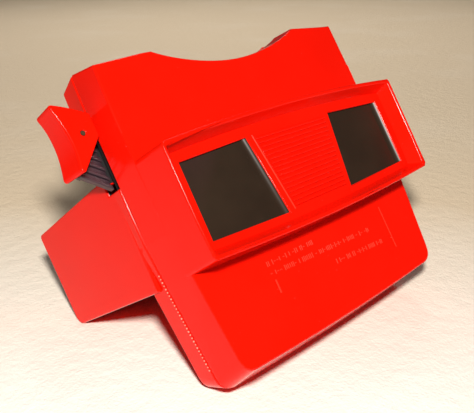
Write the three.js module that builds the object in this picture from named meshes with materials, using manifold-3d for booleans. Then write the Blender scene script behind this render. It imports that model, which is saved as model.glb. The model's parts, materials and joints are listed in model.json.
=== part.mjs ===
// Hand-held reel stereo viewer: two moulded shells joined at a side seam, a projecting visor with two smoked
// windows, an eyepiece box with two lenses, and a sprung thumb lever that advances the picture reel.
// The viewer is drawn upright in millimetres: X runs across it, -Y is the window side, +Y the eye side and
// Z is up, with the origin midway between the windows. It is then leaned back onto the rear edge of the
// eyepiece box.
import * as THREE from 'three';
import { mergeVertices } from 'three/addons/utils/BufferGeometryUtils.js';
import Module from 'manifold-3d';

const wasm = await Module();
wasm.setup();

// Slab
const WALL = 1.8;
const GAP = 0.3;
const FACE_Y = -10;
const LOWER_FACE_Y = -11.8;
const SEAM_Y = 1.8;
const BACK_Y = 11;
const HALF_WIDTH = 53.6;
const TOP_HALF_WIDTH = 53.2;
const SIDE_SWELL = 0.3;
const SIDE_DRAFT = 0.4;
const SHOULDER_Z = -5;
const SHOULDER_HALF = 53.2;
const WAIST_Z = -18;
const WAIST_HALF = 52.2;
const FOOT_HALF_WIDTH = 48.8;
const FOOT_Z = -49.2;
const FOOT_SAG = 0.8;
const FOOT_CORNER = 5;
const FOOT_DROP = 3.4;
const FOOT_BACK_DROP = 2.2;
const TOP_Z = 46;
const HORN_Z = 47.3;
const SCOOP_HALF = 32;
const SCOOP_Z = 40.3;
const CREST_RISE = 2.6;
const SCOOP_RISE = 1.5;
const BACK_RISE = 0.8;
const MARK_RISE = 0.3;

// Visor
const RIM_Y = -24;
const RIM_HALF = 53;
const RIM_TAPER = 0.7;
const RIM_SHOULDER = 0.2;
const RIM_TOP_Z = 19.2;
const RIM_BOTTOM_Z = -18.4;
const RIM_TOP_BOW = 2;
const RIM_BOTTOM_BOW = 1.4;
const RIM_LIP = 1.1;
const RIM_CORNER = 1.6;
const BEVEL = 2.1;
const PANEL_Y = -19.2;
const PANEL_THICK = 1.2;
const UNDERSIDE_DROP = 1.2;

// Windows, film gates and lenses
const EYE_X = 32;
const WINDOW_OUTER = 46.4;
const WINDOW_INNER_TOP = 19.7;
const WINDOW_INNER_BOTTOM = 15.5;
const WINDOW_HALF_HEIGHT = 11.8;
const PANE_THICK = 1.4;
const PANE_LAP = 1;
const GATE_WIDTH = 12;
const GATE_HEIGHT = 11;
const LENS_RADIUS = 11.5;

// Ribbed panel between the windows
const RIB_COUNT = 17;
const RIB_PITCH = 1.42;
const RIB_HEIGHT = 0.7;
const RIB_RISE = 0.45;
const RIB_HALF_TOP = 16.4;
const RIB_HALF_BOTTOM = 12.6;

// Reel slot
const SLOT_FRONT_Y = -0.4;
const SLOT_BACK_Y = 5.8;
const SLOT_HALF = 46.5;
const PLATE_THICK = 1.2;
const CRADLE_RADIUS = 46.1;
const CRADLE_RIM = 1;

// Eyepiece box
const BOX_BACK_Y = 63.4;
const BOX_FOOT_Y = 62;
const BOX_HALF = 53.3;
const BOX_TAPER = 0.5;
const BOX_TOP_Z = 18.4;
const BOX_DROP = 2.6;
const BOX_BOTTOM_Z = -18.8;
const BOX_HEEL = 3;
const BOX_EDGE = 0.8;
const HOOD_WIDTH = 30;
const HOOD_HEIGHT = 27;
const LENS_Y = 43;
const NOSE_HALF = 15;
const NOSE_TOP_Z = -3;
const NOSE_DEPTH = 26;

// Lever
const ARM_FRONT_Y = 7.5;
const ARM_BACK_Y = 9;
const PIVOT_X = 46;
const PIVOT_Z = 4;
const PIN_RADIUS = 1.65;
const NOTCH_LOW_Z = 13;
const NOTCH_HIGH_Z = 36;
const PADDLE_FRONT_Y = -2;
const PADDLE_BACK_Y = 7.2;
const PADDLE_FLARE = 1.6;
const PADDLE_PIN = [-59.5, 30.3];
const PADDLE_PIN_RADIUS = 0.7;
const CHEEK_Y = 4.4;
const CHEEK_RIBS = 5;
const CHEEK_RIB_PITCH = 2.9;
const CHEEK_RIB_RISE = 0.8;
const PAWL_X = -9.5;
const PAWL_PIN_Y = 11.4;
const PAWL_PIN_Z = 12.4;

// Lean at which the rounded heel of the eyepiece box and the rear foot of the slab stand on one surface.
const reach = BOX_FOOT_Y - BOX_HEEL - BACK_Y;
const rise = BOX_BOTTOM_Z + BOX_HEEL - (FOOT_Z - FOOT_SAG - FOOT_BACK_DROP);
const LEAN = Math.acos(BOX_HEEL / Math.hypot(reach, rise)) - Math.atan2(reach, rise);

const material = (color, roughness, metalness = 0) =>
  new THREE.MeshStandardMaterial({ color, roughness, metalness });
const redPlastic = material(0xd8160c, 0.25);
const blackPlastic = material(0x17141a, 0.5);
const darkPlastic = material(0x0e0e10, 0.8);
const smokedPlastic = material(0x211e18, 0.15);
const lensPlastic = material(0xe8eef0, 0.05);
const steel = material(0xb4b6b8, 0.3, 1);

// Booleans
function toSolid(geometry) {
  const bare = geometry.clone();
  bare.deleteAttribute('normal');
  bare.deleteAttribute('uv');
  const merged = mergeVertices(bare, 1e-4);
  const vertProperties = new Float32Array(merged.attributes.position.array);
  const triVerts = new Uint32Array(merged.index.array);
  return new wasm.Manifold(new wasm.Mesh({ numProp: 3, vertProperties, triVerts }));
}

function toGeometry(solid) {
  const mesh = solid.getMesh();
  const geometry = new THREE.BufferGeometry();
  geometry.setAttribute('position', new THREE.BufferAttribute(new Float32Array(mesh.vertProperties), 3));
  geometry.setIndex(new THREE.BufferAttribute(new Uint32Array(mesh.triVerts), 1));
  return geometry;
}

// Shapes drawn in the X-Z plane and extruded along Y, from y0 to the larger y1.
function extrudeY(shape, y0, y1, curveSegments = 8) {
  const geometry = new THREE.ExtrudeGeometry(shape, { depth: y1 - y0, bevelEnabled: false, curveSegments });
  return geometry.rotateX(Math.PI / 2).translate(0, y1, 0);
}

function block(x0, x1, y0, y1, z0, z1) {
  const geometry = new THREE.BoxGeometry(x1 - x0, y1 - y0, z1 - z0);
  return geometry.translate((x0 + x1) / 2, (y0 + y1) / 2, (z0 + z1) / 2);
}

function cylinderY(x, z, radius, y0, y1, sides = 32) {
  const geometry = new THREE.CylinderGeometry(radius, radius, y1 - y0, sides);
  return geometry.translate(x, (y0 + y1) / 2, z);
}

function cylinderX(y, z, radius, x0, x1, sides = 20) {
  const geometry = new THREE.CylinderGeometry(radius, radius, x1 - x0, sides);
  return geometry.rotateZ(Math.PI / 2).translate((x0 + x1) / 2, y, z);
}

function warp(geometry, move) {
  const position = geometry.attributes.position;
  const point = new THREE.Vector3();
  for (let i = 0; i < position.count; i += 1) {
    point.fromBufferAttribute(position, i);
    move(point);
    position.setXYZ(i, point.x, point.y, point.z);
  }
  return geometry;
}

function polygon(points) {
  return new THREE.Shape(points.map(([x, z]) => new THREE.Vector2(x, z)));
}

function roundedRectangle(halfWidth, low, high, radius) {
  const shape = new THREE.Shape();
  shape.moveTo(-halfWidth + radius, low);
  shape.lineTo(halfWidth - radius, low);
  shape.absarc(halfWidth - radius, low + radius, radius, -Math.PI / 2, 0);
  shape.absarc(halfWidth - radius, high - radius, radius, 0, Math.PI / 2);
  shape.absarc(-halfWidth + radius, high - radius, radius, Math.PI / 2, Math.PI);
  shape.absarc(-halfWidth + radius, low + radius, radius, Math.PI, 1.5 * Math.PI);
  return shape;
}

// Front outline of the slab: tapered foot with round corners, two horns and the scoop between them.
function slabOutline(inset) {
  const foot = FOOT_HALF_WIDTH - inset;
  const low = FOOT_Z + inset;
  const corner = FOOT_CORNER - inset / 2;
  const side = HALF_WIDTH - inset;
  const shoulder = SHOULDER_HALF - inset;
  const waist = WAIST_HALF - inset;
  const cornerX = foot + ((waist - foot) * corner) / (WAIST_Z - low);
  const top = TOP_HALF_WIDTH - inset;
  const scoop = SCOOP_Z - inset;
  const horn = HORN_Z - inset;
  const shape = new THREE.Shape();
  shape.moveTo(-foot + corner, low);
  shape.quadraticCurveTo(0, low - 2 * FOOT_SAG, foot - corner, low);
  shape.quadraticCurveTo(foot, low, cornerX, low + corner);
  shape.lineTo(waist, WAIST_Z);
  shape.lineTo(shoulder, SHOULDER_Z);
  shape.lineTo(side, TOP_Z - 16);
  shape.lineTo(top, TOP_Z - inset);
  shape.lineTo(SCOOP_HALF, horn);
  shape.bezierCurveTo(0.78 * SCOOP_HALF, scoop + 3.5, 0.38 * SCOOP_HALF, scoop, 0, scoop);
  shape.bezierCurveTo(-0.38 * SCOOP_HALF, scoop, -0.78 * SCOOP_HALF, scoop + 3.5, -SCOOP_HALF, horn);
  shape.lineTo(-top, TOP_Z - inset);
  shape.lineTo(-side, TOP_Z - 16);
  shape.lineTo(-shoulder, SHOULDER_Z);
  shape.lineTo(-waist, WAIST_Z);
  shape.lineTo(-cornerX, low + corner);
  shape.quadraticCurveTo(-foot, low, -foot + corner, low);
  return shape;
}

// The slab is largest at the seam: its outline swells from the face to there and draws in again behind it.
function crest(point) {
  const ahead = Math.min(1, THREE.MathUtils.mapLinear(point.y, FACE_Y, SEAM_Y, 0, 1));
  const behind = Math.max(0, THREE.MathUtils.mapLinear(point.y, SEAM_Y, BACK_Y, 0, 1));
  const swell = (atSeam, atBack) => atSeam * ahead + (atBack - atSeam) * behind;
  if (point.z > SCOOP_Z - 10) {
    const inScoop = THREE.MathUtils.smoothstep(SCOOP_HALF + 10 - Math.abs(point.x), 0, 10);
    point.z += swell(THREE.MathUtils.lerp(CREST_RISE, SCOOP_RISE, inScoop), BACK_RISE);
  } else if (point.z < FOOT_Z + 12) {
    point.z -= swell(FOOT_DROP, FOOT_BACK_DROP);
  }
  point.x *= 1 + swell(SIDE_SWELL, -SIDE_DRAFT) / HALF_WIDTH;
}

function slab(inset, y0, y1) {
  return toSolid(warp(extrudeY(slabOutline(inset), y0, y1, 12), crest));
}

// Visor outline, bowed along its top and bottom edges, with small round corners.
function visorOutline(inset) {
  const half = RIM_HALF - inset;
  const low = half - RIM_TAPER;
  const corner = Math.max(0.5, RIM_CORNER - inset / 2);
  const topEdge = RIM_TOP_Z - RIM_TOP_BOW - inset;
  const bottomEdge = RIM_BOTTOM_Z + RIM_BOTTOM_BOW + inset;
  const shape = new THREE.Shape();
  shape.moveTo(-low + corner, bottomEdge);
  shape.quadraticCurveTo(0, bottomEdge - 2 * RIM_BOTTOM_BOW, low - corner, bottomEdge);
  shape.quadraticCurveTo(low, bottomEdge, low, bottomEdge + corner);
  shape.lineTo(half - RIM_SHOULDER, SHOULDER_Z);
  shape.lineTo(half, topEdge - corner);
  shape.quadraticCurveTo(half, topEdge, half - corner, topEdge);
  shape.quadraticCurveTo(0, topEdge + 2 * RIM_TOP_BOW, -half + corner, topEdge);
  shape.quadraticCurveTo(-half, topEdge, -half, topEdge - corner);
  shape.lineTo(-half + RIM_SHOULDER, SHOULDER_Z);
  shape.lineTo(-low, bottomEdge + corner);
  shape.quadraticCurveTo(-low, bottomEdge, -low + corner, bottomEdge);
  return shape;
}

function visorBody() {
  const length = FACE_Y + 1 - RIM_Y;
  return toSolid(warp(extrudeY(visorOutline(0), RIM_Y, RIM_Y + length, 16), (point) => {
    const back = (point.y - RIM_Y) / length;
    point.x *= 1 + (back * (HALF_WIDTH - 0.2 - RIM_HALF)) / RIM_HALF;
    if (point.z < 0) {
      point.z -= UNDERSIDE_DROP * back;
    }
  }));
}

function visorRecess() {
  const depth = PANEL_Y - RIM_Y;
  const mouthHalf = RIM_HALF - RIM_LIP;
  const height = RIM_TOP_Z - RIM_LIP;
  return toSolid(warp(extrudeY(visorOutline(RIM_LIP), RIM_Y - depth, PANEL_Y, 16), (point) => {
    const back = (point.y - RIM_Y) / depth;
    point.x *= 1 - (back * BEVEL) / mouthHalf;
    point.z *= 1 - (back * BEVEL) / height;
  }));
}

// Window outline, mirrored for side -1 and 1, grown by lap.
function windowOutline(side, lap) {
  const half = WINDOW_HALF_HEIGHT + lap;
  const outer = WINDOW_OUTER + lap;
  return polygon([
    [side * outer, -half],
    [side * outer, half - 0.5],
    [side * (WINDOW_INNER_TOP - lap), half + 0.7],
    [side * (WINDOW_INNER_BOTTOM - lap), -half - 1],
  ]);
}

function ribs() {
  let result = null;
  for (let i = 0; i < RIB_COUNT; i += 1) {
    const z = (i - (RIB_COUNT - 1) / 2) * RIB_PITCH;
    const half = THREE.MathUtils.mapLinear(z, -12, 12, RIB_HALF_BOTTOM, RIB_HALF_TOP);
    const low = z - RIB_HEIGHT / 2;
    const bar = toSolid(block(-half, half, PANEL_Y - RIB_RISE, PANEL_Y + 0.4, low, low + RIB_HEIGHT));
    result = result ? result.add(bar) : bar;
  }
  return result;
}

function slotCut() {
  return toSolid(block(-SLOT_HALF, SLOT_HALF, SLOT_FRONT_Y, SLOT_BACK_Y, 0, TOP_Z + 10));
}

function frontShell() {
  const high = block(-70, 70, LOWER_FACE_Y - 1, FACE_Y, RIM_BOTTOM_Z + 2, TOP_Z + 20);
  let solid = slab(0, LOWER_FACE_Y, SEAM_Y).subtract(toSolid(high));
  solid = solid.add(visorBody());
  const visorHollow = visorOutline(WALL);
  solid = solid.subtract(toSolid(extrudeY(visorHollow, PANEL_Y + PANEL_THICK, SEAM_Y, 16)));
  solid = solid.subtract(slab(WALL, FACE_Y + WALL, SEAM_Y + 1));
  solid = solid.subtract(visorRecess());
  for (const side of [-1, 1]) {
    solid = solid.subtract(toSolid(extrudeY(windowOutline(side, 0), RIM_Y, PANEL_Y + 2 * PANEL_THICK)));
  }
  solid = solid.subtract(slotCut()).add(ribs());
  const markBack = LOWER_FACE_Y + 0.5;
  const shortMark = block(-26, -25, LOWER_FACE_Y - MARK_RISE, markBack, -33.5, -29.3);
  const longMark = block(32, 32.8, LOWER_FACE_Y - MARK_RISE, markBack, -38.7, -23.5);
  return solid.add(toSolid(shortMark)).add(toSolid(longMark));
}

// Eyepiece box, drawn as its side view and extruded across, with softened side edges; shrunk by inset.
function eyeBox(inset, y0) {
  const edge = inset > 0 ? 0 : BOX_EDGE;
  const shrink = inset + edge;
  const low = BOX_BOTTOM_Z + shrink;
  const heel = BOX_HEEL - shrink / 2;
  const foot = BOX_FOOT_Y - shrink;
  const back = BOX_BACK_Y - shrink;
  const high = BOX_TOP_Z - BOX_DROP - shrink;
  const shape = new THREE.Shape();
  shape.moveTo(y0, low);
  shape.lineTo(foot - heel, low);
  shape.absarc(foot - heel, low + heel, heel, -Math.PI / 2, 0);
  shape.lineTo(back, high - 1);
  shape.quadraticCurveTo(back, high, back - 1, high);
  shape.lineTo(y0, BOX_TOP_Z - shrink);
  const half = BOX_HALF - inset;
  const geometry = new THREE.ExtrudeGeometry(shape, {
    depth: 2 * (half - edge),
    bevelEnabled: edge > 0,
    bevelThickness: edge,
    bevelSize: edge,
    bevelSegments: 2,
    curveSegments: 6,
  });
  geometry.translate(0, 0, edge - half);
  const across = new THREE.Vector3(1, 0, 0);
  const along = new THREE.Vector3(0, 1, 0);
  geometry.applyMatrix4(new THREE.Matrix4().makeBasis(along, new THREE.Vector3(0, 0, 1), across));
  return toSolid(warp(geometry, (point) => {
    point.x *= 1 - ((BOX_TAPER / BOX_HALF) * (point.y - BACK_Y)) / (BOX_BACK_Y - BACK_Y);
  }));
}

// Notch for the nose, narrowing and sinking towards the front.
function noseNotch(grow) {
  const half = NOSE_HALF + grow;
  const high = NOSE_TOP_Z + grow;
  const base = BOX_BOTTOM_Z - 2;
  const shape = new THREE.Shape();
  shape.moveTo(-half, base);
  shape.lineTo(half, base);
  shape.bezierCurveTo(half - 2, high - 5, half - 7, high, 0, high);
  shape.bezierCurveTo(-half + 7, high, -half + 2, high - 5, -half, base);
  const front = BOX_BACK_Y - NOSE_DEPTH - grow;
  return toSolid(warp(extrudeY(shape, front, BOX_BACK_Y + 2, 8), (point) => {
    const t = (BOX_BACK_Y - point.y) / NOSE_DEPTH;
    if (t > 0.5) {
      point.x *= 0.55;
      point.z = base + (point.z - base) * 0.4;
    }
  }));
}

function rearShell() {
  const seam = SEAM_Y + GAP;
  let solid = slab(0, seam, BACK_Y);
  solid = solid.add(eyeBox(0, SEAM_Y + 4).subtract(noseNotch(0)));
  solid = solid.subtract(slab(WALL, SEAM_Y - 1, BACK_Y - WALL + 0.1));
  solid = solid.subtract(eyeBox(WALL, SEAM_Y - 5).subtract(noseNotch(WALL)));
  solid = solid.subtract(slotCut());
  const notch = block(-60, -48, SEAM_Y - 1, BACK_Y - WALL + 0.1, NOTCH_LOW_Z, NOTCH_HIGH_Z);
  solid = solid.subtract(toSolid(notch));
  for (const side of [-1, 1]) {
    const opening = roundedRectangle(HOOD_WIDTH / 2 + GAP, -HOOD_HEIGHT / 2 - GAP, HOOD_HEIGHT / 2 + GAP, 6);
    const cut = extrudeY(opening, BOX_BACK_Y - 5, BOX_BACK_Y + 5, 6).translate(side * EYE_X, 0, -1);
    solid = solid.subtract(toSolid(cut));
  }
  const peg = cylinderY(12, 36, 1, ARM_FRONT_Y + 0.2, BACK_Y - 1, 12);
  return solid.add(toSolid(peg));
}

function pane(side) {
  const back = PANEL_Y + PANEL_THICK + GAP;
  return toSolid(extrudeY(windowOutline(side, PANE_LAP), back, back + PANE_THICK));
}

// Square tube about the eye axis, flaring from one end to the other.
function tunnel(side, y0, width0, height0, y1, width1, height1, wall) {
  const shape = polygon([[-1, -1], [1, -1], [1, 1], [-1, 1]]);
  const inner = 1 - (2 * wall) / Math.min(width0, width1);
  shape.holes.push(new THREE.Path([
    new THREE.Vector2(-inner, -inner),
    new THREE.Vector2(-inner, inner),
    new THREE.Vector2(inner, inner),
    new THREE.Vector2(inner, -inner),
  ]));
  return toSolid(warp(extrudeY(shape, y0, y1), (point) => {
    const t = (point.y - y0) / (y1 - y0);
    point.x = side * EYE_X + (point.x * THREE.MathUtils.lerp(width0, width1, t)) / 2;
    point.z *= THREE.MathUtils.lerp(height0, height1, t) / 2;
  }));
}

function gatePlate(y0, y1) {
  let solid = slab(WALL + 0.4, y0, y1);
  for (const side of [-1, 1]) {
    const aperture = new THREE.BoxGeometry(GATE_WIDTH, y1 - y0 + 2, GATE_HEIGHT);
    solid = solid.subtract(toSolid(aperture.translate(side * EYE_X, (y0 + y1) / 2, 0)));
  }
  return solid;
}

function rearGatePlate() {
  const y0 = SLOT_BACK_Y;
  const y1 = SLOT_BACK_Y + PLATE_THICK;
  const arc = new THREE.Shape();
  arc.absarc(0, 0, CRADLE_RADIUS + CRADLE_RIM, Math.PI * 1.05, Math.PI * 1.95);
  arc.absarc(0, 0, CRADLE_RADIUS, Math.PI * 1.95, Math.PI * 1.05, true);
  let solid = gatePlate(y0, y1).add(toSolid(extrudeY(arc, SLOT_FRONT_Y + GAP, y1 - 0.2, 36)));
  solid = solid.subtract(toSolid(block(PAWL_X - 2.9, PAWL_X + 3.5, y0 - 1, y1 + 1, -7, 9)));
  return solid.subtract(toSolid(cylinderY(PIVOT_X, PIVOT_Z, PIN_RADIUS + GAP, y0 - 1, y1 + 1)));
}

function lens(side) {
  const profile = [new THREE.Vector2(0, -2.4)];
  const steps = 6;
  for (let i = 1; i <= steps; i += 1) {
    const r = (LENS_RADIUS * i) / steps;
    profile.push(new THREE.Vector2(r, -2.4 + 1.5 * (r / LENS_RADIUS) ** 2));
  }
  for (let i = steps; i >= 1; i -= 1) {
    const r = (LENS_RADIUS * i) / steps;
    profile.push(new THREE.Vector2(r, 2.4 - 1.5 * (r / LENS_RADIUS) ** 2));
  }
  profile.push(new THREE.Vector2(0, 2.4));
  return toSolid(new THREE.LatheGeometry(profile, 32).translate(side * EYE_X, LENS_Y, -1));
}

function lensRing(side) {
  const profile = [
    new THREE.Vector2(LENS_RADIUS - 1.2, -2.6),
    new THREE.Vector2(LENS_RADIUS + 1.6, -2.6),
    new THREE.Vector2(LENS_RADIUS + 1.6, 1.6),
    new THREE.Vector2(LENS_RADIUS + GAP, 1.6),
    new THREE.Vector2(LENS_RADIUS + GAP, -1.4),
    new THREE.Vector2(LENS_RADIUS - 1.2, -1.4),
    new THREE.Vector2(LENS_RADIUS - 1.2, -2.6),
  ];
  return toSolid(new THREE.LatheGeometry(profile, 32).translate(side * EYE_X, LENS_Y - 0.2, -1));
}

// Funnel-shaped hood from the opening in the back wall down to the lens.
function eyeHood(side) {
  const front = LENS_Y + 2;
  const back = BOX_FOOT_Y - 0.4;
  const shape = roundedRectangle(HOOD_WIDTH / 2, -HOOD_HEIGHT / 2, HOOD_HEIGHT / 2, 6);
  const hole = roundedRectangle(HOOD_WIDTH / 2 - 1.4, -HOOD_HEIGHT / 2 + 1.4, HOOD_HEIGHT / 2 - 1.4, 5);
  shape.holes.push(new THREE.Path(hole.getPoints(6).reverse()));
  return toSolid(warp(extrudeY(shape, front, back, 6), (point) => {
    const t = (point.y - front) / (back - front);
    point.x = side * EYE_X + point.x * THREE.MathUtils.lerp(0.84, 1, t);
    point.z = -1 + point.z * THREE.MathUtils.lerp(0.93, 1, t);
  }));
}

// Thumb paddle: its outer side is hollowed for the thumb, its lower inner side is cut back for the arm.
function paddleOutline() {
  const shape = new THREE.Shape();
  shape.moveTo(-54.9, 28.6);
  shape.lineTo(-55.2, 35.4);
  shape.quadraticCurveTo(-60.6, 38.5, -65.4, 40);
  shape.quadraticCurveTo(-66.6, 40.1, -66.3, 38.8);
  shape.bezierCurveTo(-64.4, 33.6, -63.2, 27.4, -64.6, 20.8);
  shape.quadraticCurveTo(-64.8, 19.3, -63.3, 19.6);
  shape.lineTo(-54.9, 28.6);
  return shape;
}

function thumbPaddle() {
  const body = warp(extrudeY(paddleOutline(), PADDLE_FRONT_Y, PADDLE_BACK_Y, 8), (point) => {
    const back = (point.y - PADDLE_FRONT_Y) / (PADDLE_BACK_Y - PADDLE_FRONT_Y);
    const low = THREE.MathUtils.clamp((36 - point.z) / 14, 0, 1);
    if (point.x < -61) {
      point.x -= PADDLE_FLARE * back * low;
    }
  });
  const hole = cylinderY(...PADDLE_PIN, PADDLE_PIN_RADIUS + 0.08, PADDLE_FRONT_Y - 1, PADDLE_BACK_Y + 1, 16);
  return toSolid(body).subtract(toSolid(hole));
}

function leverArm() {
  const arm = new THREE.Shape();
  arm.moveTo(PIVOT_X, PIVOT_Z - 4.2);
  arm.absarc(PIVOT_X, PIVOT_Z, 4.2, -Math.PI / 2, Math.PI / 3);
  arm.lineTo(38, 16.5);
  arm.lineTo(15, 18.8);
  arm.lineTo(15, 21.2);
  arm.lineTo(9, 21.2);
  arm.lineTo(9, 18.8);
  arm.lineTo(-20, 20.5);
  arm.lineTo(-47, 34.5);
  arm.lineTo(-55, 34.5);
  arm.lineTo(-61.5, 36.2);
  arm.lineTo(-61.5, 20.6);
  arm.lineTo(-60.2, 19.6);
  arm.lineTo(-55, 25.2);
  arm.lineTo(-55, 29.5);
  arm.lineTo(-47, 29.5);
  arm.lineTo(-20, 13.6);
  arm.lineTo(36, 11.5);
  arm.lineTo(41.6, 4);
  arm.absarc(PIVOT_X, PIVOT_Z, 4.2, Math.PI, 1.5 * Math.PI);
  let solid = toSolid(extrudeY(arm, ARM_FRONT_Y, ARM_BACK_Y, 8));
  const cheek = polygon([[-54, 13.4], [-54, 29], [-62.4, 20], [-62, 19.3]]);
  solid = solid.add(toSolid(extrudeY(cheek, CHEEK_Y, CHEEK_Y + 1.4)));
  const web = polygon([[-55.4, 27.4], [-61.5, 20.9], [-60.2, 19.6], [-55.4, 24.8]]);
  solid = solid.add(toSolid(extrudeY(web, CHEEK_Y + 0.5, ARM_BACK_Y)));
  const grip = toSolid(extrudeY(cheek, CHEEK_Y - CHEEK_RIB_RISE, CHEEK_Y + 0.4));
  for (let i = 0; i < CHEEK_RIBS; i += 1) {
    const z = i * CHEEK_RIB_PITCH;
    const bar = polygon([[-54, 13.4 + z], [-54, 14.8 + z], [-64, 21.8 + z], [-64, 20.4 + z]]);
    solid = solid.add(toSolid(extrudeY(bar, CHEEK_Y - 2, CHEEK_Y + 1)).intersect(grip));
  }
  for (const x of [PAWL_X - 3.8, PAWL_X + 2.4]) {
    solid = solid.add(toSolid(block(x, x + 1.4, ARM_FRONT_Y, 13.2, PAWL_PIN_Z - 1.8, 14.6)));
  }
  solid = solid.subtract(toSolid(cylinderX(PAWL_PIN_Y, PAWL_PIN_Z, 1.1, PAWL_X - 6, PAWL_X + 6)));
  solid = solid.subtract(toSolid(cylinderY(...PADDLE_PIN, PADDLE_PIN_RADIUS + 0.08, 4, 10, 16)));
  return solid.subtract(toSolid(cylinderY(PIVOT_X, PIVOT_Z, PIN_RADIUS + 0.1, 4, 10)));
}

function pawl() {
  const y0 = PAWL_PIN_Y - 1;
  const shank = block(PAWL_X - 1.9, PAWL_X + 1.9, y0, y0 + 2, 3, PAWL_PIN_Z);
  const tooth = block(PAWL_X - 1.9, PAWL_X + 1.9, SLOT_BACK_Y + 0.4, y0 + 1, 3, 5.4);
  const hub = cylinderX(PAWL_PIN_Y, PAWL_PIN_Z, 1.9, PAWL_X - 1.9, PAWL_X + 1.9);
  const bore = cylinderX(PAWL_PIN_Y, PAWL_PIN_Z, 0.85, PAWL_X - 4, PAWL_X + 4);
  return toSolid(shank).add(toSolid(tooth)).add(toSolid(hub)).subtract(toSolid(bore));
}

function ring(x, z, inner, outer, y0, y1) {
  return toSolid(cylinderY(x, z, outer, y0, y1)).subtract(toSolid(cylinderY(x, z, inner, y0 - 1, y1 + 1)));
}

// Close-wound return spring between the peg on the rear shell and the tab on the arm.
class Helix extends THREE.Curve {
  getPoint(t, target = new THREE.Vector3()) {
    const angle = t * 2 * Math.PI * 12;
    return target.set(12 + 0.75 * Math.cos(angle), 8.15 + 0.75 * Math.sin(angle), 22 + 12.2 * t);
  }
}

function spring() {
  const wire = new THREE.Shape();
  wire.absarc(0, 0, 0.22, 0, 2 * Math.PI);
  const options = { steps: 96, extrudePath: new Helix(), bevelEnabled: false, curveSegments: 5 };
  return toSolid(new THREE.ExtrudeGeometry(wire, options));
}

const viewer = new THREE.Group();

function part(name, solid, look) {
  const mesh = new THREE.Mesh(toGeometry(solid), look);
  mesh.name = name;
  viewer.add(mesh);
}

part('front_shell', frontShell(), redPlastic);
part('rear_shell', rearShell(), redPlastic);
for (const [label, side] of [['left', -1], ['right', 1]]) {
  part(`window_${label}`, pane(side), smokedPlastic);
  part(`light_tunnel_${label}`, tunnel(side, -15.9, 30, 30, -1.9, 16, 15, 0.9), darkPlastic);
  part(`eye_tunnel_${label}`, tunnel(side, 9.6, 16, 15, 39.5, 25, 25, 0.9), darkPlastic);
  part(`lens_${label}`, lens(side), lensPlastic);
  part(`lens_ring_${label}`, lensRing(side), blackPlastic);
  part(`eye_hood_${label}`, eyeHood(side), blackPlastic);
}
part('front_gate_plate', gatePlate(SLOT_FRONT_Y - PLATE_THICK, SLOT_FRONT_Y), darkPlastic);
part('rear_gate_plate', rearGatePlate(), darkPlastic);
part('lever_arm', leverArm(), blackPlastic);
part('thumb_paddle', thumbPaddle(), redPlastic);
const paddlePin = cylinderY(...PADDLE_PIN, PADDLE_PIN_RADIUS, PADDLE_FRONT_Y + 0.2, ARM_BACK_Y - 0.1, 16);
part('paddle_pin', toSolid(paddlePin), steel);
const pivotPin = toSolid(cylinderY(PIVOT_X, PIVOT_Z, PIN_RADIUS, SLOT_BACK_Y + 0.2, ARM_BACK_Y + 2));
part('lever_pivot_pin', pivotPin, steel);
part('lever_clip', ring(PIVOT_X, PIVOT_Z, PIN_RADIUS + 0.15, 3.4, ARM_BACK_Y + 0.4, ARM_BACK_Y + 1.2), steel);
part('lever_spring', spring(), steel);
part('advance_pawl', pawl(), blackPlastic);
part('pawl_pin', toSolid(cylinderX(PAWL_PIN_Y, PAWL_PIN_Z, 0.8, PAWL_X - 4.2, PAWL_X + 4.2)), steel);

// Leaned back, centred over the floor, lowest point at zero height.
viewer.rotation.x = -LEAN;
const group = new THREE.Group();
group.add(viewer);
group.updateMatrixWorld(true);
const bounds = new THREE.Box3().setFromObject(group, true);
const centre = bounds.getCenter(new THREE.Vector3());
viewer.position.set(-centre.x, -centre.y, -bounds.min.z);

export default group;
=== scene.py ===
"""Looks of the stereo viewer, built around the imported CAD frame. Lengths are in metres.

Fine detail is drawn upright in millimetres, as the CAD draws it: X across, -Y the window side, +Z up, the
origin midway between the windows. UPRIGHT then leans it back into the row frame.
"""
import json
import math
import random

import bmesh
import bpy
from mathutils import Matrix, Vector
from mathutils.bvhtree import BVHTree


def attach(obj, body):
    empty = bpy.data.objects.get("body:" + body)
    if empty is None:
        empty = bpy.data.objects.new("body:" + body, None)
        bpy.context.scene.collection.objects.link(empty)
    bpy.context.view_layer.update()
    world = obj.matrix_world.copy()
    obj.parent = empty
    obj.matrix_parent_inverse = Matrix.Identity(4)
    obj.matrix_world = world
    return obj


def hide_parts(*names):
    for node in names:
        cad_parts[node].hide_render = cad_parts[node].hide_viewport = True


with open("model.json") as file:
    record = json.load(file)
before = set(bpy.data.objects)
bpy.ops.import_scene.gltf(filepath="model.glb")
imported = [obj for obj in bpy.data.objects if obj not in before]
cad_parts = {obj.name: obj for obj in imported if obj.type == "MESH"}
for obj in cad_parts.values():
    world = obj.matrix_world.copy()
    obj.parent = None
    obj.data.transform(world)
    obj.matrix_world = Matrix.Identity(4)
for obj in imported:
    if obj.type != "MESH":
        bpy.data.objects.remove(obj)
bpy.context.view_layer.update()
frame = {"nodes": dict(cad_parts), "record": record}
random.seed(7)

MM = 0.001
LEAN = math.radians(34.3197)
SHIFT = Vector((6.2281, -11.4875, 49.3141)) * MM
UPRIGHT = Matrix.Translation(SHIFT) @ Matrix.Rotation(-LEAN, 4, "X")

# Camera: where it stands and which way it is turned, in the upright drawing. Its lens and sensor are in mm.
CAMERA_AT = Vector((-157.992, -160.927, -14.3003)) * MM
CAMERA_RIGHT = Vector((0.70032, -0.587391, -0.405615))
CAMERA_DOWN = Vector((-0.277476, 0.299532, -0.912846))
CAMERA_AHEAD = Vector((0.657692, 0.751833, 0.046782))
LENS = 51.17
SENSOR_WIDTH = 36
NEAREST = 0.01

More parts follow.
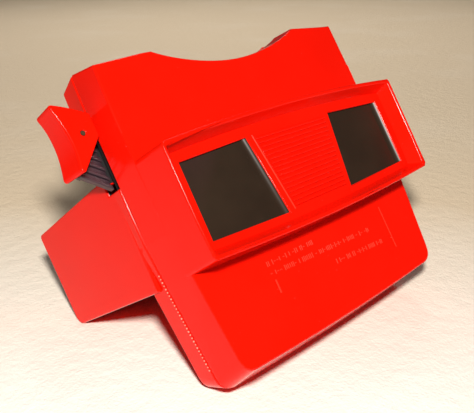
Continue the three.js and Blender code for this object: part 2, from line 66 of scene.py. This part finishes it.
camera = bpy.data.objects.new("camera", bpy.data.cameras.new("camera"))
bpy.context.scene.collection.objects.link(camera)
turn = Matrix((CAMERA_RIGHT, -CAMERA_DOWN, -CAMERA_AHEAD)).transposed()
camera.matrix_world = UPRIGHT @ (Matrix.Translation(CAMERA_AT) @ turn.to_4x4())
camera.data.lens = LENS
camera.data.sensor_width = SENSOR_WIDTH
camera.data.clip_start = NEAREST
bpy.context.scene.camera = camera
bpy.context.scene.view_settings.view_transform = "Standard"


# Materials -------------------------------------------------------------------------------------------------
# The Mix node's colour sockets share their names with its other sockets, so they go by number.
MIX_A = 6
MIX_B = 7
MIX_RESULT = 2


class Nodes:
    """A short way to write a node material."""

    def __init__(self, name):
        self.material = bpy.data.materials.new(name)
        self.material.use_nodes = True
        self.tree = self.material.node_tree
        self.tree.nodes.clear()
        self.output = self.tree.nodes.new("ShaderNodeOutputMaterial")

    def add(self, kind, inputs=None, **settings):
        node = self.tree.nodes.new("ShaderNode" + kind)
        for key, value in settings.items():
            setattr(node, key, value)
        for key, value in (inputs or {}).items():
            self.feed(node, key, value)
        return node

    def feed(self, node, key, value):
        if isinstance(value, bpy.types.NodeSocket):
            self.tree.links.new(value, node.inputs[key])
        else:
            node.inputs[key].default_value = value

    def coords(self):
        return self.add("TexCoord").outputs["Object"]

    def noise(self, scale, detail=4.0, rough=0.55, stretch=None):
        vector = self.coords()
        if stretch:
            vector = self.add("Mapping", {"Vector": vector, "Scale": stretch}).outputs["Vector"]
        node = self.add("TexNoise", {"Vector": vector, "Scale": scale, "Detail": detail, "Roughness": rough})
        return node.outputs["Fac"]

    def ramp(self, value, low, high, out_low=0.0, out_high=1.0):
        node = self.add(
            "MapRange",
            {"Value": value, "From Min": low, "From Max": high, "To Min": out_low, "To Max": out_high},
        )
        return node.outputs["Result"]

    def maths(self, operation, a, b):
        node = self.add("Math", operation=operation)
        self.feed(node, 0, a)
        self.feed(node, 1, b)
        return node.outputs["Value"]

    def mix(self, factor, a, b):
        node = self.add("Mix", data_type="RGBA")
        self.feed(node, 0, factor)
        self.feed(node, MIX_A, a)
        self.feed(node, MIX_B, b)
        return node.outputs[MIX_RESULT]

    def bump(self, height, strength, distance, normal=None):
        inputs = {"Height": height, "Strength": strength, "Distance": distance}
        if normal:
            inputs["Normal"] = normal
        return self.add("Bump", inputs).outputs["Normal"]

    def shader(self, **inputs):
        named = {key.replace("_", " "): value for key, value in inputs.items()}
        node = self.add("BsdfPrincipled", named)
        self.tree.links.new(node.outputs["BSDF"], self.output.inputs["Surface"])
        return self.material


def colour(r, g, b):
    return (r, g, b, 1.0)


def plastic(name, base, worn, rough, gloss, grain):
    """Moulded plastic: cloudy colour, handling smudges, orange peel, fine scratches and dust specks."""
    n = Nodes(name)
    cloud = n.ramp(n.noise(38, 3), 0.35, 0.65)
    smudge = n.ramp(n.noise(70, 5, 0.6, (1, 1, 0.35)), 0.42, 0.72)
    speck = n.ramp(n.noise(2600, 1.5, 0.4), 0.80, 0.86)
    scratch = n.ramp(n.noise(900, 2, 0.5, (0.06, 1, 1)), 0.66, 0.72)
    tint = n.mix(n.maths("MULTIPLY", cloud, 0.5), base, worn)
    tint = n.mix(n.maths("MULTIPLY", speck, 0.35), tint, colour(0.9, 0.62, 0.5))
    roughness = n.maths("ADD", n.maths("MULTIPLY", smudge, 0.06), rough)
    roughness = n.maths("ADD", roughness, n.maths("MULTIPLY", scratch, 0.08))
    peel = n.noise(260, 2, 0.5)
    normal = n.bump(peel, grain, 0.0004)
    normal = n.bump(scratch, 0.05, 0.0001, normal)
    return n.shader(Base_Color=tint, Roughness=roughness, Specular_IOR_Level=gloss, Normal=normal)


def smoked():
    """Smoked window: dark brown plastic with a faint purple cast, dust and a soft haze."""
    n = Nodes("smoked_plastic")
    haze = n.ramp(n.noise(45, 3), 0.4, 0.7)
    dust = n.ramp(n.noise(3800, 1, 0.3), 0.80, 0.84)
    purple = n.ramp(n.noise(22, 1), 0.5, 0.75)
    tint = n.mix(haze, colour(0.022, 0.014, 0.009), colour(0.030, 0.019, 0.012))
    tint = n.mix(n.maths("MULTIPLY", purple, 0.35), tint, colour(0.06, 0.022, 0.034))
    tint = n.mix(n.maths("MULTIPLY", dust, 0.3), tint, colour(0.42, 0.36, 0.28))
    rough = n.maths("ADD", n.maths("MULTIPLY", dust, 0.4), 0.33)
    return n.shader(
        Base_Color=tint,
        Roughness=rough,
        Specular_IOR_Level=0.22,
        Normal=n.bump(n.noise(60, 2), 0.02, 0.0004),
    )


def lens_clear():
    """Clear moulded lens with a faint smear."""
    n = Nodes("lens_plastic")
    smear = n.ramp(n.noise(120, 4), 0.45, 0.7, 0.02, 0.10)
    return n.shader(
        Base_Color=n.mix(n.noise(80), colour(0.9, 0.95, 0.97), colour(0.96, 0.97, 0.96)),
        Roughness=smear,
        Transmission_Weight=0.85,
        IOR=1.49,
        Normal=n.bump(n.noise(40, 2), 0.02, 0.0004),
    )


def steel():
    """Plain steel with fine drawn lines."""
    n = Nodes("steel")
    line = n.noise(1200, 3, 0.6, (0.1, 1, 1))
    return n.shader(
        Base_Color=n.mix(n.noise(300), colour(0.42, 0.42, 0.43), colour(0.62, 0.61, 0.60)),
        Metallic=1.0,
        Roughness=n.ramp(line, 0.3, 0.7, 0.22, 0.42),
        Normal=n.bump(line, 0.12, 0.00005),
    )


def paper():
    """Floor paper with a fibrous grain; painted light: its colour is paler towards -X -Y, under the key
    lamp, and darker and warmer towards +X +Y.
    """
    n = Nodes("floor_paper")
    fibre = n.noise(170, 6, 0.62)
    fine = n.noise(900, 3, 0.6)
    blotch = n.ramp(n.noise(9, 3), 0.3, 0.7, -0.08, 0.08)
    place = n.add("SeparateXYZ", {"Vector": n.coords()})
    depth = n.maths("ADD", place.outputs["X"], place.outputs["Y"])
    # Painted light falloff: the colour ramp along X + Y stands in for the key lamp's pool of light.
    far = n.maths("ADD", n.ramp(depth, -0.12, 0.14), blotch)
    height = n.maths("ADD", fibre, n.maths("MULTIPLY", fine, 0.35))
    return n.shader(
        Base_Color=n.mix(far, colour(0.90, 0.89, 0.86), colour(0.66, 0.545, 0.40)),
        Roughness=n.ramp(fibre, 0.2, 0.8, 0.75, 0.95),
        Specular_IOR_Level=0.2,
        Normal=n.bump(height, 0.5, 0.0012),
    )


RED = plastic("red_plastic", colour(0.76, 0.006, 0.001), colour(0.80, 0.008, 0.002), 0.13, 0.13, 0.05)
BLACK = plastic("black_plastic", colour(0.022, 0.012, 0.018), colour(0.045, 0.026, 0.034), 0.34, 0.5, 0.2)
DARK = plastic("dark_plastic", colour(0.010, 0.010, 0.011), colour(0.020, 0.018, 0.018), 0.62, 0.3, 0.3)
# Pale pink painted on the seam bumps as a painted highlight.
PAINTED_GLINT_RED = plastic("painted_glint_red", colour(0.86, 0.24, 0.18), colour(0.90, 0.32, 0.25), 0.3, 0.3, 0.05)
# Paler red painted on the raised strokes and the panel ridge as a painted highlight.
PAINTED_HIGHLIGHT_RED = plastic("painted_highlight_red", colour(0.82, 0.026, 0.012), colour(0.84, 0.032, 0.015), 0.25, 0.2, 0.05)
DARK_BROWN_PIN = plastic("dark_brown_pin", colour(0.05, 0.035, 0.02), colour(0.08, 0.05, 0.03), 0.35, 0.3, 0.1)
FINISHES = {
    "red_plastic": RED,
    "black_plastic": BLACK,
    "dark_plastic": DARK,
    "smoked_plastic": smoked(),
    "lens_plastic": lens_clear(),
    "steel": steel(),
}


def dress(obj, slot):
    obj.data.materials.clear()
    obj.data.materials.append(FINISHES[slot])


SLOTS = {part["node"]: part["material_slot"] for part in frame["record"]["subparts"]}
BODIES = {node: body for body, nodes in frame["record"]["behaviour"]["bodies"].items() for node in nodes}
for node, slot in SLOTS.items():
    dress(frame["nodes"][node], slot)
# The paddle pin is drawn in dark brown.
frame["nodes"]["paddle_pin"].data.materials[0] = DARK_BROWN_PIN


# Meshes ----------------------------------------------------------------------------------------------------
# Faces in the plane of a face broader than BROAD_AREA are shaded flat
BROAD_AREA = 14 * MM * MM
SAME_DIRECTION = 0.99999
SAME_PLANE = 0.003 * MM
SHARP_EDGE = 35
SHARP_FILLET = 22

# Joining up the CAD's triangles
WELD_DISTANCE = 2e-6
FLAT_ANGLE = math.radians(0.4)

# Which edges are rounded over: least angle, least reach of both faces in widths, and open space in front
LEAST_ANGLE = math.radians(32)
LEAST_REACH = 2.2
CLEAR_FROM = 0.2 * MM
CLEAR_TO = 0.2
FILLET_STEPS = 5
MOST_CORNERS = 4

# Fillet width of each CAD node that is drawn again, in mm
FILLETS = {
    "front_shell": 0.5,
    "rear_shell": 0.6,
    "thumb_paddle": 0.5,
    "lever_arm": 0.3,
    "eye_hood_left": 0.3,
    "eye_hood_right": 0.3,
    "lens_left": 0,
    "lens_right": 0,
    "lens_ring_left": 0,
    "lens_ring_right": 0,
    "advance_pawl": 0,
    "lever_pivot_pin": 0,
}

# Where the inner face of the slab's back wall is, along upright Y in mm, and how squarely it faces the
# front; these faces get painted shade
BACK_WALL_FROM = 8.5
BACK_WALL_TO = 9.8
BACK_WALL_FACING = -0.9


def smooth_by_angle(mesh, degrees):
    """Smooth shading up to an angle, with the broad flat faces left flat."""
    mesh.shade_smooth()
    mesh.set_sharp_from_angle(angle=math.radians(degrees))
    broad = [face for face in mesh.polygons if face.area > BROAD_AREA]
    planes = [(face.normal.copy(), face.normal.dot(face.center)) for face in broad]
    for face in mesh.polygons:
        flat = any(
            face.normal.dot(normal) > SAME_DIRECTION and abs(normal.dot(face.center) - offset) < SAME_PLANE
            for normal, offset in planes
        )
        face.use_smooth = not flat


def add_mesh(name, bm):
    mesh = bpy.data.meshes.new(name)
    bm.normal_update()
    bm.to_mesh(mesh)
    bm.free()
    obj = bpy.data.objects.new(name, mesh)
    bpy.context.scene.collection.objects.link(obj)
    return obj


def add_piece(name, bm, slot, body, stands_for=None, sharp=SHARP_EDGE):
    """A visible piece on one body, in a finish of the record, standing for a CAD node if one is named."""
    obj = add_mesh(name, bm)
    smooth_by_angle(obj.data, sharp)
    dress(obj, slot)
    even = obj.modifiers.new("even_normals", "WEIGHTED_NORMAL")
    even.keep_sharp = True
    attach(obj, body)
    if stands_for:
        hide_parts(stands_for)
    return obj


def merged_copy(node):
    """The node's solid with its flat faces joined up."""
    bm = bmesh.new()
    bm.from_mesh(frame["nodes"][node].data)
    bmesh.ops.remove_doubles(bm, verts=bm.verts, dist=WELD_DISTANCE)
    bmesh.ops.dissolve_limit(bm, angle_limit=FLAT_ANGLE, verts=bm.verts, edges=bm.edges)
    bm.normal_update()
    return bm


def reach(face, edge):
    """How far a face extends from one of its edges."""
    start = edge.verts[0].co
    along = (edge.verts[1].co - start).normalized()
    offsets = [vert.co - start for vert in face.verts]
    return max((offset - along * offset.dot(along)).length for offset in offsets)


def outer_edges(bm, width):
    """Outside edges with open space in front of them, sharp enough and wide enough to be rounded over."""
    tree = BVHTree.FromBMesh(bm)
    found = []
    for edge in bm.edges:
        if not edge.is_manifold or not edge.is_convex:
            continue
        if edge.calc_face_angle() < LEAST_ANGLE:
            continue
        if min(reach(face, edge) for face in edge.link_faces) < LEAST_REACH * width:
            continue
        outward = (edge.link_faces[0].normal + edge.link_faces[1].normal).normalized()
        middle = (edge.verts[0].co + edge.verts[1].co) / 2
        if tree.ray_cast(middle + outward * CLEAR_FROM, outward, CLEAR_TO)[0] is None:
            found.append(edge)
    return found


def rounded(node, width):
    """The node again with its outer edges rounded over, if the width isn't 0."""
    bm = merged_copy(node)
    if width:
        bmesh.ops.bevel(
            bm,
            geom=outer_edges(bm, width),
            offset=width,
            offset_type="OFFSET",
            segments=FILLET_STEPS,
            profile=0.5,
            affect="EDGES",
            clamp_overlap=False,
        )
    bmesh.ops.triangulate(bm, faces=[face for face in bm.faces if len(face.verts) > MOST_CORNERS])
    return add_piece("rounded_" + node, bm, SLOTS[node], BODIES[node], node, SHARP_FILLET)


def paint_shade_on_back_wall(mesh):
    """Painted shade: the inside of the slab's back wall, behind the lever notch, is painted black."""
    mesh.materials.append(DARK)
    upright = UPRIGHT.inverted()
    for face in mesh.polygons:
        depth = (upright @ face.center).y / MM
        facing = (upright.to_3x3() @ face.normal).y
        if BACK_WALL_FROM < depth < BACK_WALL_TO and facing < BACK_WALL_FACING:
            face.material_index = 1


redrawn = {node: rounded(node, width * MM) for node, width in FILLETS.items()}
REAR = redrawn["rear_shell"].data
# Painted shade: the back wall faces behind the lever notch are painted black.
paint_shade_on_back_wall(REAR)


# Fine detail, drawn upright in millimetres -----------------------------------------------------------------
# Depths along Y of the faces that detail sits on
PANEL_Y = -19.2
PANE_Y = -17.7
LOWER_Y = -11.8

# Lower and upper end, as (x, z), of a window's outer and inner edge
WINDOW_OUTER = ((46.4, -11.8), (46.4, 11.3))
WINDOW_INNER = ((15.5, -12.8), (19.7, 12.5))
PANE_THICK = 1.4
PANE_LAP = 1.0

COVE_RADIUS = 2.4
COVE_TURN = math.radians(58)
COVE_STEPS = 12
COVE_SIDE_GAP = 0.06
COVE_END_GAP = 0.08
COVE_SUNK = 0.1

BAR_SUNK = 0.15
BAR_STEPS = 8
MARK_STEPS = 6

# Ribbed panel between the windows, which widens by PANEL_FLARE for each PANEL_FLARE_HEIGHT upward
RIBS = 17
RIB_PITCH = 1.42
RIB_HALF_WIDTH = 0.58
RIB_RISE = 0.72
RIB_LAP = 0.1
PANEL_HALF_WIDTH = 14.5
PANEL_FLARE = 1.9
PANEL_FLARE_HEIGHT = 12

RIDGE_TOP = (-17.3, 12.6)
RIDGE_FOOT = (-13.0, -12.5)
RIDGE_SIZE = 0.24

# Serration along the lower half of the seam, found by rays from outside the -X side
SERRATION_COUNT = 30
SERRATION_PITCH = 1.05
SERRATION_TOP = -14.5
SERRATION_Y = 2.6
SERRATION_RADIUS = (0.2, 0.3)
OUTSIDE_X = -70

# Tally marks: left and right end of each row, as (x, z), then the two lone bars as ends, half width and rise
TALLY_ROWS = (
    ((-26, -24.2), (-4, -24.2)),
    ((-26, -27.2), (24.4, -28.9)),
    ((2, -33.2), (27.6, -34.5)),
)
ROW_END_GAP = 0.6
STROKE_HEIGHT = (1.2, 1.7)
STROKE_SHARE = 0.7
DASH_LEFT = 0.25
DASH_RIGHT = 0.45
DASH_ADVANCE = 0.4
MARK_ADVANCES = (0.72, 0.72, 0.86, 1.6)
MARK_HALF_WIDTH = 0.19
MARK_RISE = 0.22
LONE_BARS = (
    ((-25.5, -33.5), (-25.5, -29.3), 0.5, 0.4),
    ((32.4, -38.7), (32.4, -23.5), 0.4, 0.38),
)


def prism(bm, sections):
    """A closed solid swept through two or more outlines of the same number of points."""
    rings = [[bm.verts.new(point) for point in section] for section in sections]
    count = len(rings[0])
    for near, far in zip(rings, rings[1:]):
        for i in range(count):
            j = (i + 1) % count
            bm.faces.new((near[i], near[j], far[j], far[i]))
    bm.faces.new(rings[0][::-1])
    bm.faces.new(rings[-1])


def half_round(bm, start, end, half_width, rise, face_y, steps=BAR_STEPS):
    """A half-round bar on a front face, from start to end, both given as (x, z)."""
    a = Vector((start[0], face_y, start[1]))
    b = Vector((end[0], face_y, end[1]))
    across = (b - a).normalized().cross(Vector((0, 1, 0)))
    sunk = Vector((0, BAR_SUNK, 0))
    sections = []
    for centre in (a, b):
        section = [centre - across * half_width + sunk]
        for k in range(steps + 1):
            angle = math.pi * k / steps
            point = centre - across * half_width * math.cos(angle)
            section.append(point - Vector((0, rise * math.sin(angle), 0)))
        section.append(centre + across * half_width + sunk)
        sections.append(section)
    prism(bm, sections)


def upright_piece(name, bm, slot, stands_for=None):
    """A piece of the viewer body that was drawn upright in millimetres."""
    bmesh.ops.recalc_face_normals(bm, faces=bm.faces)
    bmesh.ops.transform(bm, matrix=UPRIGHT @ Matrix.Scale(MM, 4), verts=bm.verts)
    return add_piece(name, bm, slot, "viewer", stands_for)


def cove(bm, side):
    """The strip of a window that turns forward along its right-hand edge."""
    low, high = WINDOW_OUTER if side > 0 else WINDOW_INNER
    width = COVE_RADIUS * math.sin(COVE_TURN)
    sections = []
    for x, z in ((side * low[0], low[1] + COVE_END_GAP), (side * high[0], high[1] - COVE_END_GAP)):
        left = x - COVE_SIDE_GAP - width
        section = [(left, PANE_Y + COVE_SUNK, z)]
        for k in range(COVE_STEPS + 1):
            angle = COVE_TURN * k / COVE_STEPS
            rise = COVE_RADIUS * (1 - math.cos(angle))
            section.append((left + COVE_RADIUS * math.sin(angle), PANE_Y - rise, z))
        section.append((x - COVE_SIDE_GAP, PANE_Y + COVE_SUNK, z))
        sections.append(section)
    prism(bm, sections)


def pane(side, name):
    """A smoked window that laps behind its opening on every side, with its cove."""
    outer_low, outer_high = WINDOW_OUTER
    inner_low, inner_high = WINDOW_INNER
    outline = [
        (side * (outer_low[0] + PANE_LAP), outer_low[1] - PANE_LAP),
        (side * (outer_high[0] + PANE_LAP), outer_high[1] + PANE_LAP),
        (side * (inner_high[0] - PANE_LAP), inner_high[1] + PANE_LAP),
        (side * (inner_low[0] - PANE_LAP), inner_low[1] - PANE_LAP),
    ]
    bm = bmesh.new()
    prism(bm, [[(x, y, z) for x, z in outline] for y in (PANE_Y, PANE_Y + PANE_THICK)])
    cove(bm, side)
    return upright_piece("window_pane_" + name, bm, "smoked_plastic", "window_" + name)


def panel_ribs():
    bm = bmesh.new()
    for i in range(RIBS):
        z = (i - (RIBS - 1) / 2) * RIB_PITCH
        half = PANEL_HALF_WIDTH + z * PANEL_FLARE / PANEL_FLARE_HEIGHT
        half_round(bm, (-half - RIB_LAP, z), (half + RIB_LAP, z), RIB_HALF_WIDTH, RIB_RISE, PANEL_Y)
    return upright_piece("panel_ribs", bm, "red_plastic")


def panel_ridge():
    bm = bmesh.new()
    half_round(bm, RIDGE_TOP, RIDGE_FOOT, RIDGE_SIZE, RIDGE_SIZE, PANEL_Y)
    return upright_piece("panel_ridge", bm, "red_plastic")


def seam_serration():
    """A row of small bumps on the rear shell's edge at the seam."""
    bm = bmesh.new()
    corners = [vert.co for vert in REAR.vertices]
    tree = BVHTree.FromPolygons(corners, [face.vertices for face in REAR.polygons])
    inward = UPRIGHT.to_3x3() @ Vector((1, 0, 0))
    for i in range(SERRATION_COUNT):
        start = UPRIGHT @ (Vector((OUTSIDE_X, SERRATION_Y, SERRATION_TOP - SERRATION_PITCH * i)) * MM)
        spot = tree.ray_cast(start, inward)[0]
        radius = random.uniform(*SERRATION_RADIUS) * MM
        bmesh.ops.create_icosphere(bm, subdivisions=2, radius=radius, matrix=Matrix.Translation(spot))
    return add_piece("seam_serration", bm, "red_plastic", "viewer")


def tally_marks():
    """Rows of upright strokes and short dashes, in place of raised lettering."""
    bm = bmesh.new()
    for (left, left_z), (right, right_z) in TALLY_ROWS:
        x = left
        while x < right - ROW_END_GAP:
            z = left_z + (right_z - left_z) * (x - left) / (right - left)
            height = random.uniform(*STROKE_HEIGHT)
            stroke = random.random() < STROKE_SHARE
            if stroke:
                ends = (x, z - height / 2), (x, z + height / 2)
            else:
                ends = (x - DASH_LEFT, z), (x + DASH_RIGHT, z)
                x += DASH_ADVANCE
            half_round(bm, *ends, MARK_HALF_WIDTH, MARK_RISE, LOWER_Y, MARK_STEPS)
            x += random.choice(MARK_ADVANCES)
    for start, end, half_width, rise in LONE_BARS:
        half_round(bm, start, end, half_width, rise, LOWER_Y)
    return upright_piece("moulded_tally_marks", bm, "red_plastic")


pane(-1, "left")
pane(1, "right")
panel_ribs()
# The ridge gets the paler red as a painted highlight.
panel_ridge().data.materials[0] = PAINTED_HIGHLIGHT_RED
# The seam bumps are painted pale pink as a painted highlight.
seam_serration().data.materials[0] = PAINTED_GLINT_RED
# The tally marks get the paler red as a painted highlight.
tally_marks().data.materials[0] = PAINTED_HIGHLIGHT_RED


# Floor and light -------------------------------------------------------------------------------------------
FLOOR_HALF = 3.0
WARM_WHITE = (1.0, 0.95, 0.88)
FILL_WHITE = (1.0, 0.96, 0.9)
WORLD_WHITE = (1.0, 0.93, 0.85, 1)
WORLD_STRENGTH = 0.05
VIEWER_MIDDLE = (0, 0, 0.04)
KEY_AT = (-0.152, -0.160, 0.184)
KEY_POWER = 18.0
KEY_SIZE = 0.024
BACKDROP_AT = (0.70, 0.58, 1.1)
BACKDROP_TO = (0.62, 0.52, 0)
BACKDROP_POWER = 24.0
BACKDROP_CONE = math.radians(84)
BACKDROP_BLEND = 1.0
BACKDROP_SOFTNESS = 0.1
FILL_AT = (0.45, 0.75, 0.55)
FILL_POWER = 0.8
FILL_SIZE = 0.5


def floor_sheet():
    sheet = bmesh.new()
    bmesh.ops.create_grid(sheet, x_segments=2, y_segments=2, size=FLOOR_HALF)
    obj = add_mesh("floor", sheet)
    obj.data.materials.append(paper())
    return obj


def lamp(name, kind, place, target, power, tint):
    light = bpy.data.lights.new(name, kind)
    light.energy = power
    light.color = tint
    obj = bpy.data.objects.new(name, light)
    bpy.context.scene.collection.objects.link(obj)
    obj.location = place
    obj.rotation_mode = "QUATERNION"
    obj.rotation_quaternion = (Vector(target) - obj.location).to_track_quat("-Z", "Y")
    return light


def disk_lamp(name, place, power, tint, size):
    light = lamp(name, "AREA", place, VIEWER_MIDDLE, power, tint)
    light.shape = "DISK"
    light.size = size
    return light


def keep_strength(light):
    """The light stays as strong at any distance."""
    light.use_nodes = True
    falloff = light.node_tree.nodes.new("ShaderNodeLightFalloff")
    falloff.inputs["Strength"].default_value = 1.0
    emission = light.node_tree.nodes["Emission"]
    light.node_tree.links.new(falloff.outputs["Constant"], emission.inputs["Strength"])


def backdrop_lamp():
    light = lamp("backdrop", "SPOT", BACKDROP_AT, BACKDROP_TO, BACKDROP_POWER, WARM_WHITE)
    light.spot_size = BACKDROP_CONE
    light.spot_blend = BACKDROP_BLEND
    light.shadow_soft_size = BACKDROP_SOFTNESS


def studio():
    world = bpy.data.worlds.new("studio")
    bpy.context.scene.world = world
    world.use_nodes = True
    background = world.node_tree.nodes["Background"]
    background.inputs["Color"].default_value = WORLD_WHITE
    background.inputs["Strength"].default_value = WORLD_STRENGTH


floor = floor_sheet()
keep_strength(disk_lamp("key", KEY_AT, KEY_POWER, WARM_WHITE, KEY_SIZE))
backdrop_lamp()
disk_lamp("fill", FILL_AT, FILL_POWER, FILL_WHITE, FILL_SIZE)
studio()
